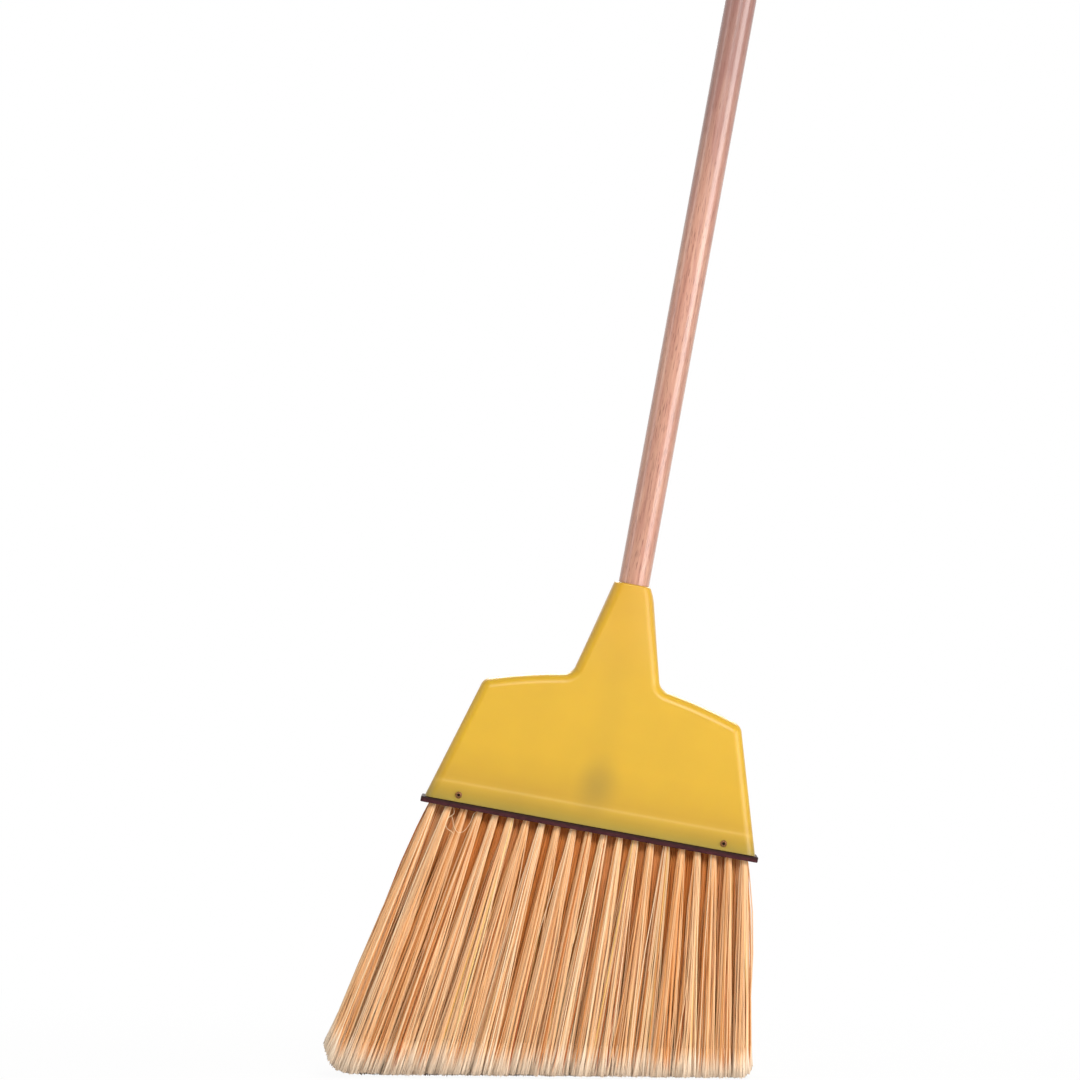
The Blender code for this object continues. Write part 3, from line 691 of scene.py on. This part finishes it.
def makeHood():
    bm = hoodShell(0)
    inner = solidOf(hoodShell(hood["wall"]), "hoodInnerSkin")
    bm.from_mesh(inner.data)
    bpy.data.objects.remove(inner)
    top = hood["neckTop"][1]
    for rim in openedEnds(bm, 0, top):
        bmesh.ops.bridge_loops(bm, edges=rim)
    bmesh.ops.recalc_face_normals(bm, faces=bm.faces)
    roundOff(bm, rimEdges(bm, top, hood["bore"] + 1, 99), hood["lip"], 5)
    roundOff(bm, rimEdges(bm, 0, 1, 999), hood["rim"], 2)
    shapeNeckEnd(bm)
    piece = solidOf(bm, "yellowHood")
    drillForScrews(piece, hood["screwHole"], hood["halfDepth"] + 3, hood["halfDepth"] - 5, 24)
    finishPiece(piece, hoodPlastic, "hood")


makeHood()
print("hood made")


# Block: a flange under the hood, a spigot inside it, and a boss that takes the handle's thread

block = {
    "halfLength": 131.8,
    "halfWidth": 25.9,
    "top": -0.3,             # heights from the hood's lower edge
    "underside": -4.5,
    "corner": 3.0,
    "edge": 0.6,
    "spigotInset": 2.3,      # from the hood's outside
    "spigotTop": 14.2,
    "bossProfile": [(0, 13), (20.5, 13), (20.5, 14.2), (18.9, 14.7), (17.9, 16.0), (15.4, 45.2), (14.6, 46),
                    (0, 46)],
    "socketRadius": 9.9,
    "socketFoot": 18.0,
    "tuftHole": 3.6,
    "tuftHoleDepth": 8.0,
    "screwHole": 1.3,
}

bristles = {
    "columns": 21,
    "rows": 5,
    "pitch": 12.1,           # mm from tuft to tuft along the block
    "rowPitch": 8.8,
    "flare": (11.5, 9.6),    # degrees that the leftmost and rightmost tufts lean out
    "faceFlare": 4.0,        # the same for the front and back rows
    "perTuft": 70,
    "turn": 2.39996,         # radians from each filament to the next, which fills the tuft evenly
    "rootDepth": 2.5,        # mm up in the hole
    "rootSpread": (2.6, 3.3),              # radius of an outer and an inner row's tufts at their holes
    "pinch": (0.2, 0.05),    # the hole pinches a tuft by this share, over this share of the length
    "tipSpread": ((9.0, 7.4), (9.6, 9.4)),     # and at the tips, along the block and across it
    "aimedAt": 190,          # mm down, where that spread is meant
    "gather": (1.0, 0.6),    # below 1, a tuft opens sooner than a straight cone
    "points": (0, 0.015, 0.035, 0.06, 0.12, 0.26, 0.46, 0.68, 0.87, 0.95),     # shares of a filament's length
    "radius": 0.36,
    "swell": 0.4,            # filaments cling together lower down, so each is drawn this much thicker there,
    "swellOver": (0.05, 0.6),              # which comes in over these shares of the length
    "taper": 0.6,            # thickness of a filament's last point
    "fullness": 0.6,         # how far a filament is shaded as part of its round tuft
    "flagRadius": 0.36,
    "flags": 5,              # split ends of one filament
    "flagFrom": 0.87,        # share of the length where the splitting starts
    "flagTaper": (1, 0.95, 0.7),
    "flagSplay": (0.15, 0.5, 1),           # shares of its drift that a flag's three points take
    "shallow": (0.4, 0.3),   # shares of the shade of depth, in the outer rows and at the block's ends
    "oddTones": (            # dark, yellow and purple filaments: their share and those before, and their tones
        (0.06, (0.0, 0.1)), (0.08, (0.955, 0.985)), (0.084, (1.0,)),
    ),
    "worn": [                # the sole's rounded ends: mm from the origin, the way in, mm worn up, over what width
        (-174, 1, 18, 26), (-174, 1, 3.5, 58), (163, -1, 7, 10),
    ],
    "wornFace": (3.2, 0.3, 200, 36),       # mm that the outer rows are worn up further on the left and on the
                             # right, mm between the two, and mm in which it starts
    "curls": [               # loose hairs on the front, and the column that each grows from
        (1, [(-106.5, -18, -4), (-104.5, -22.5, -9), (-108, -24.2, -13), (-109.6, -24.4, -17.5),
             (-107.5, -24.2, -21.5), (-103.5, -23, -23.5), (-100, -19, -27)]),
        (3, [(-86.5, -18, -4), (-89.5, -22.8, -7), (-91, -24.2, -14), (-94.5, -24.8, -21),
             (-99, -24.6, -22.8), (-103, -23.6, -18.5), (-104.6, -21.5, -14), (-106, -19, -12)]),
    ],
    "curlRadius": 0.22,
    "seed": 41,
}
drawn = {                    # what is drawn for each tuft and filament: a range, or the spread round a middle
    "tuftTone": (0.36, 0.68),
    "tuftPaintedShade": (0.72, 0.98),
    "tuftWidth": (0.92, 1.08),
    "tuftSlope": (0, 0.006),
    "tuftWear": (0.3, 1),
    "angle": (0, 0.32),      # radians
    "spread": (0.82, 1.08),
    "strays": 0.2,           # share of the filaments that stray, and mm that their tips do
    "strayed": (0, 4.5),
    "trim": (0.2, 1.2),      # mm above the floor
    "bends": ((0, 0.8), (0, 0.3)),         # mm along the block and across it
    "tone": 0.19,
    "thickness": (0.85, 1.15),
    "flagDrift": (0, 0.7),   # mm
    "flagEnd": (0.991, 1.0),               # share of the length
}
outerTuft = bristles["pitch"] * (bristles["columns"] - 1) / 2
outerRow = bristles["rowPitch"] * (bristles["rows"] - 1) / 2


def tuftsOf(column):                       # x, y and row of each tuft; alternate rows stand half a pitch along
    for row in range(bristles["rows"]):
        staggered = row % 2
        if not (staggered and column == bristles["columns"] - 1):
            yield (bristles["pitch"] * (column + staggered / 2) - outerTuft,
                   bristles["rowPitch"] * row - outerRow, row)


def makeBlock():
    bm = bmesh.new()
    thick = block["top"] - block["underside"]
    bmesh.ops.create_cube(bm, size=2, matrix=Matrix.Translation((0, 0, (block["top"] + block["underside"]) / 2))
                          @ Matrix.Diagonal((block["halfLength"], block["halfWidth"], thick / 2, 1)))
    upright = [edge for edge in bm.edges if abs(edge.verts[0].co.z - edge.verts[1].co.z) > 1]
    roundOff(bm, upright, block["corner"], 8)
    level = [edge for edge in bm.edges if abs(edge.verts[0].co.z - edge.verts[1].co.z) < 1]
    roundOff(bm, level, block["edge"], 3)
    piece = solidOf(bm, "tuftedBlock")
    bm = hoodShell(block["spigotInset"])
    for rim in openedEnds(bm, block["top"] - 1, block["spigotTop"]):
        bmesh.ops.holes_fill(bm, edges=rim, sides=0)
    bmesh.ops.recalc_face_normals(bm, faces=bm.faces)
    combine(piece, solidOf(bm, "blockSpigot"), "UNION")
    combine(piece, turnedSolid("blockBoss", block["bossProfile"], 48), "UNION")
    combine(piece, threadedRod("blockSocket", block["socketRadius"], block["socketFoot"], 50), "DIFFERENCE")
    foot, depth = block["underside"], block["tuftHoleDepth"]
    lines = [((x, y, foot - 1), (x, y, foot + depth)) for column in range(bristles["columns"])
             for x, y, _ in tuftsOf(column)]
    combine(piece, rods("tuftHoles", block["tuftHole"], lines, 14), "DIFFERENCE")
    drillForScrews(piece, block["screwHole"], hood["halfDepth"], hood["halfDepth"] - 12, 16)
    finishPiece(piece, blockPlastic, "block")


makeBlock()
print("block made")


# Screws: pan heads with a cross recess

screw = {
    "seat": 25.3,            # mm from the middle plane to the underside of the head
    "headRadius": 2.6,
    "headHeight": 1.5,
    "shankRadius": 1.1,
    "shankLength": 11.5,
    "point": 2.0,
    "recess": (3.4, 0.85, 1.1),            # length, width and depth of each slot of the cross
    "hollow": (1.25, 0.5, 1.3),            # radii and depth of the cone in its middle
    "domeSteps": 7,
    "domeFoot": 0.2,         # height of the head's upright edge
}


def makeScrews():
    seat, rise, wide = screw["seat"], screw["headHeight"], screw["headRadius"]
    end, shank = seat - screw["shankLength"], screw["shankRadius"]
    profile = [(0, end), (shank, end + screw["point"]), (shank, seat), (wide - 0.1, seat)]
    steps, edge = screw["domeSteps"], screw["domeFoot"]
    for step in range(steps):
        angle = math.radians(90) * step / steps
        profile.append((wide * math.cos(angle) ** 0.8, seat + edge + (rise - edge) * math.sin(angle)))
    profile.append((0, seat + rise))
    for name, x, face in screwPlaces:
        piece = turnedSolid(name.title().replace("_", ""), profile, 28)
        long, slim, deep = screw["recess"]
        for across, along in ((long, slim), (slim, long)):
            bm = bmesh.new()
            bmesh.ops.create_cube(bm, size=1, matrix=Matrix.Translation((0, 0, seat + rise))
                                  @ Matrix.Diagonal((across, along, 2 * deep, 1)))
            combine(piece, solidOf(bm, "recess"), "DIFFERENCE")
        mouth, foot, deep = screw["hollow"]
        bm = bmesh.new()
        bmesh.ops.create_cone(bm, cap_ends=True, segments=16, radius1=foot, radius2=mouth, depth=deep,
                              matrix=Matrix.Translation((0, 0, seat + rise - deep / 2 + 0.01)))
        combine(piece, solidOf(bm, "hollow"), "DIFFERENCE")
        piece.data.transform(Matrix.Translation((x, 0, head["screwHeight"]))
                             @ Matrix.Rotation(math.radians(-90 * face), 4, "X"))
        finishPiece(piece, screwFinish, name)


makeScrews()
print("screws made")


# Bristles: each column of tufts is one piece. A filament is a thin four-sided tube whose end splits into flags

def reachDown(start, slope, height):       # how far down a filament runs until its tip is so high above the floor
    above = headOrigin.z * 1000 - start.x * leanSine + start.z * leanCosine - height
    return above / (leanCosine + slope * leanSine)


def wornHeight(start, slope):              # mm above the floor that the sole is worn to where this filament ends
    reach = reachDown(start, slope, 0)
    x = headOrigin.x * 1000 + (start.x + slope * reach) * leanCosine + (start.z - reach) * leanSine
    return sum(rise * min(max(1 - (x - end) * inward / width, 0), 1) ** 2
               for end, inward, rise, width in bristles["worn"])


def smoothPath(points, steps):             # a rounded path through the points
    points = [Vector(point) for point in points]
    path = []
    for before, start, end, after in zip(points[:1] + points, points, points[1:], points[2:] + points[-1:]):
        for step in range(steps):
            path.append(interpolatedPoint(before, start, end, after, step / steps))
    return path + [points[-1]]


def interpolatedPoint(before, start, end, after, share):
    leave, arrive = (end - before) / 2, (after - start) / 2
    square, cube = share * share, share ** 3
    return (start * (2 * cube - 3 * square + 1) + leave * (cube - 2 * square + share)
            + end * (3 * square - 2 * cube) + arrive * (cube - square))


def addStrand(strands, points, radii, marks, facing):
    spline = strands["curve"].splines.new("POLY")
    spline.points.add(len(points) - 1)
    spline.points.foreach_set("co", [value for point in points for value in (*point, 1)])
    spline.points.foreach_set("radius", radii)
    strands["marks"] += marks
    strands["facings"] += [facing] * len(points)


def toneOf(chance, tuftTone):              # most filaments are straw, and a few are dark, yellow or purple
    luck = chance.random()
    for upTo, tones in bristles["oddTones"]:
        if luck < upTo:
            return chance.uniform(*tones) if len(tones) == 2 else tones[0]
    return min(max(chance.gauss(tuftTone, drawn["tone"]), 0.08), 0.94)


def makeColumn(column):
    chance = random.Random(bristles["seed"] + column)
    curve = bpy.data.curves.new("strands", "CURVE")
    curve.dimensions = "3D"
    curve.bevel_depth = 1.0                # each point's radius then gives the thickness in mm
    curve.bevel_resolution = 0
    # for each point: tone, share of the length and depth in the pile, which sets its painted shade, and the way
    # out of its tuft
    strands = {"curve": curve, "marks": [], "facings": []}
    flareLeft, flareRight = (math.tan(math.radians(flare)) for flare in bristles["flare"])
    faceFlare = math.tan(math.radians(bristles["faceFlare"]))
    aimedAt = bristles["aimedAt"]
    outerShade, endShade = bristles["shallow"]
    for tuftX, tuftY, row in tuftsOf(column):
        inner = 0 < row < bristles["rows"] - 1
        tuftSlope = (flareRight - flareLeft) / 2 + (flareRight + flareLeft) / 2 * tuftX / outerTuft
        tuftFall = faceFlare * math.copysign(abs(tuftY / outerRow) ** 0.5, tuftY)
        tuftTone = chance.uniform(*drawn["tuftTone"])
        cover = min((outerTuft - abs(tuftX)) / bristles["pitch"] / 2, 1)    # how much the others hide this one
        tuftPaintedShade = chance.uniform(*drawn["tuftPaintedShade"]) * (endShade + (1 - endShade) * cover)
        width = chance.uniform(*drawn["tuftWidth"])
        if 0 < column < bristles["columns"] - 2:
            tuftSlope += chance.gauss(*drawn["tuftSlope"])
        most, least, reach, start = bristles["wornFace"]
        fromLeft = tuftX + outerTuft
        wear = least + (most - least) * max(1 - fromLeft / reach, 0)
        faceWear = 0 if inner else wear * chance.uniform(*drawn["tuftWear"]) * min(fromLeft / start, 1)
        phase = chance.uniform(0, math.tau)
        wideTip, deepTip = bristles["tipSpread"][inner]
        for index in range(bristles["perTuft"]):
            rho = math.sqrt((index + 0.5) / bristles["perTuft"])
            angle = index * bristles["turn"] + phase
            rootRadius = bristles["rootSpread"][inner] * rho
            root = Vector((tuftX + rootRadius * math.cos(angle), tuftY + rootRadius * math.sin(angle),
                           block["underside"] + bristles["rootDepth"]))
            angle += chance.gauss(*drawn["angle"])
            rho *= chance.uniform(*drawn["spread"])
            tipOffset = Vector((wideTip * width * rho * math.cos(angle), deepTip * rho * math.sin(angle), 0))
            if chance.random() < drawn["strays"] and abs(tuftX) < outerTuft - bristles["pitch"]:
                tipOffset.x += chance.gauss(*drawn["strayed"])
            aim = Vector((tuftX + tuftSlope * aimedAt, tuftY + tuftFall * aimedAt, 0)) + tipOffset
            slopeX, slopeY = (aim.x - root.x) / aimedAt, (aim.y - root.y) / aimedAt
            height = wornHeight(root, slopeX) + faceWear + chance.uniform(*drawn["trim"])
            length = reachDown(root, slopeX, height)
            rootX, rootY = root.x - tuftX, root.y - tuftY
            middle = Vector((rootX, rootY, 0))
            opening = Vector((tipOffset.x - rootX, tipOffset.y - rootY, 0))
            bend = Vector([chance.gauss(*spread) for spread in drawn["bends"]] + [0])
            sway = chance.uniform(0, math.tau)
            facing = Vector((math.cos(angle), math.sin(angle), 0)) * rho

            def strandAt(share):
                pinch, pinchEnd = bristles["pinch"]
                straight = root + Vector((slopeX, slopeY, -1)) * length * share
                straight -= middle * pinch * max(1 - share / pinchEnd, 0) ** 2
                early = opening * (share ** bristles["gather"][inner] - share)
                return straight + early + bend * math.sin(math.pi * share) * (1 + math.sin(sway + 5 * share))

            tone = toneOf(chance, tuftTone)
            depth = tuftPaintedShade if inner else outerShade * (1 - rho)
            shares = bristles["points"]
            thick = bristles["radius"] * chance.uniform(*drawn["thickness"])
            radii = [thick * (1 + bristles["swell"] * smoothShare(share, *bristles["swellOver"]))
                     for share in shares[:-1]] + [thick * bristles["taper"]]
            addStrand(strands, [strandAt(share) for share in shares], radii,
                      [(tone, share, depth) for share in shares], facing)
            for _ in range(bristles["flags"]):
                drift = Vector((chance.gauss(*drawn["flagDrift"]), chance.gauss(*drawn["flagDrift"]), 0))
                end = chance.uniform(*drawn["flagEnd"])
                shares = (bristles["flagFrom"], (bristles["flagFrom"] + end) / 2, end)
                points = [strandAt(share) + drift * splay for share, splay in zip(shares, bristles["flagSplay"])]
                addStrand(strands, points, [bristles["flagRadius"] * share for share in bristles["flagTaper"]],
                          [(tone, share, depth) for share in shares], facing)
    for home, points in bristles["curls"]:
        if home == column:
            path = smoothPath(points, 5)
            addStrand(strands, path, [bristles["curlRadius"]] * len(path), [(0.8, 0.4, 0)] * len(path),
                      Vector((0, -0.5, 0)))
    finishColumn(column, strands)


def finishColumn(column, strands):         # four corners of the mesh stand round each point of the curve
    bundle = newObject("strands", strands["curve"])
    mesh = bpy.data.meshes.new_from_object(bundle.evaluated_get(bpy.context.evaluated_depsgraph_get()))
    bpy.data.objects.remove(bundle)
    strand = mesh.attributes.new("strand", "FLOAT_VECTOR", "POINT")
    strand.data.foreach_set("vector", [value for mark in strands["marks"] for _ in range(4) for value in mark])
    bm = bmesh.new()
    bm.from_mesh(mesh)
    bmesh.ops.holes_fill(bm, edges=[edge for edge in bm.edges if edge.is_boundary], sides=4)
    piece = solidOf(bm, f"bristleColumn{column + 1:02d}")
    dressPiece(piece, bristlePlastic)
    turn = headTurn.to_3x3() * bristles["fullness"]
    outward = [turn @ facing for facing in strands["facings"]]
    piece.data.normals_split_custom_set_from_vertices([(vert.normal + outward[index // 4]).normalized()
                                                       for index, vert in enumerate(piece.data.vertices)])
    tagPiece(piece, f"bristle_column_{column + 1:02d}")


for column in range(bristles["columns"]):
    makeColumn(column)
print("bristles made")
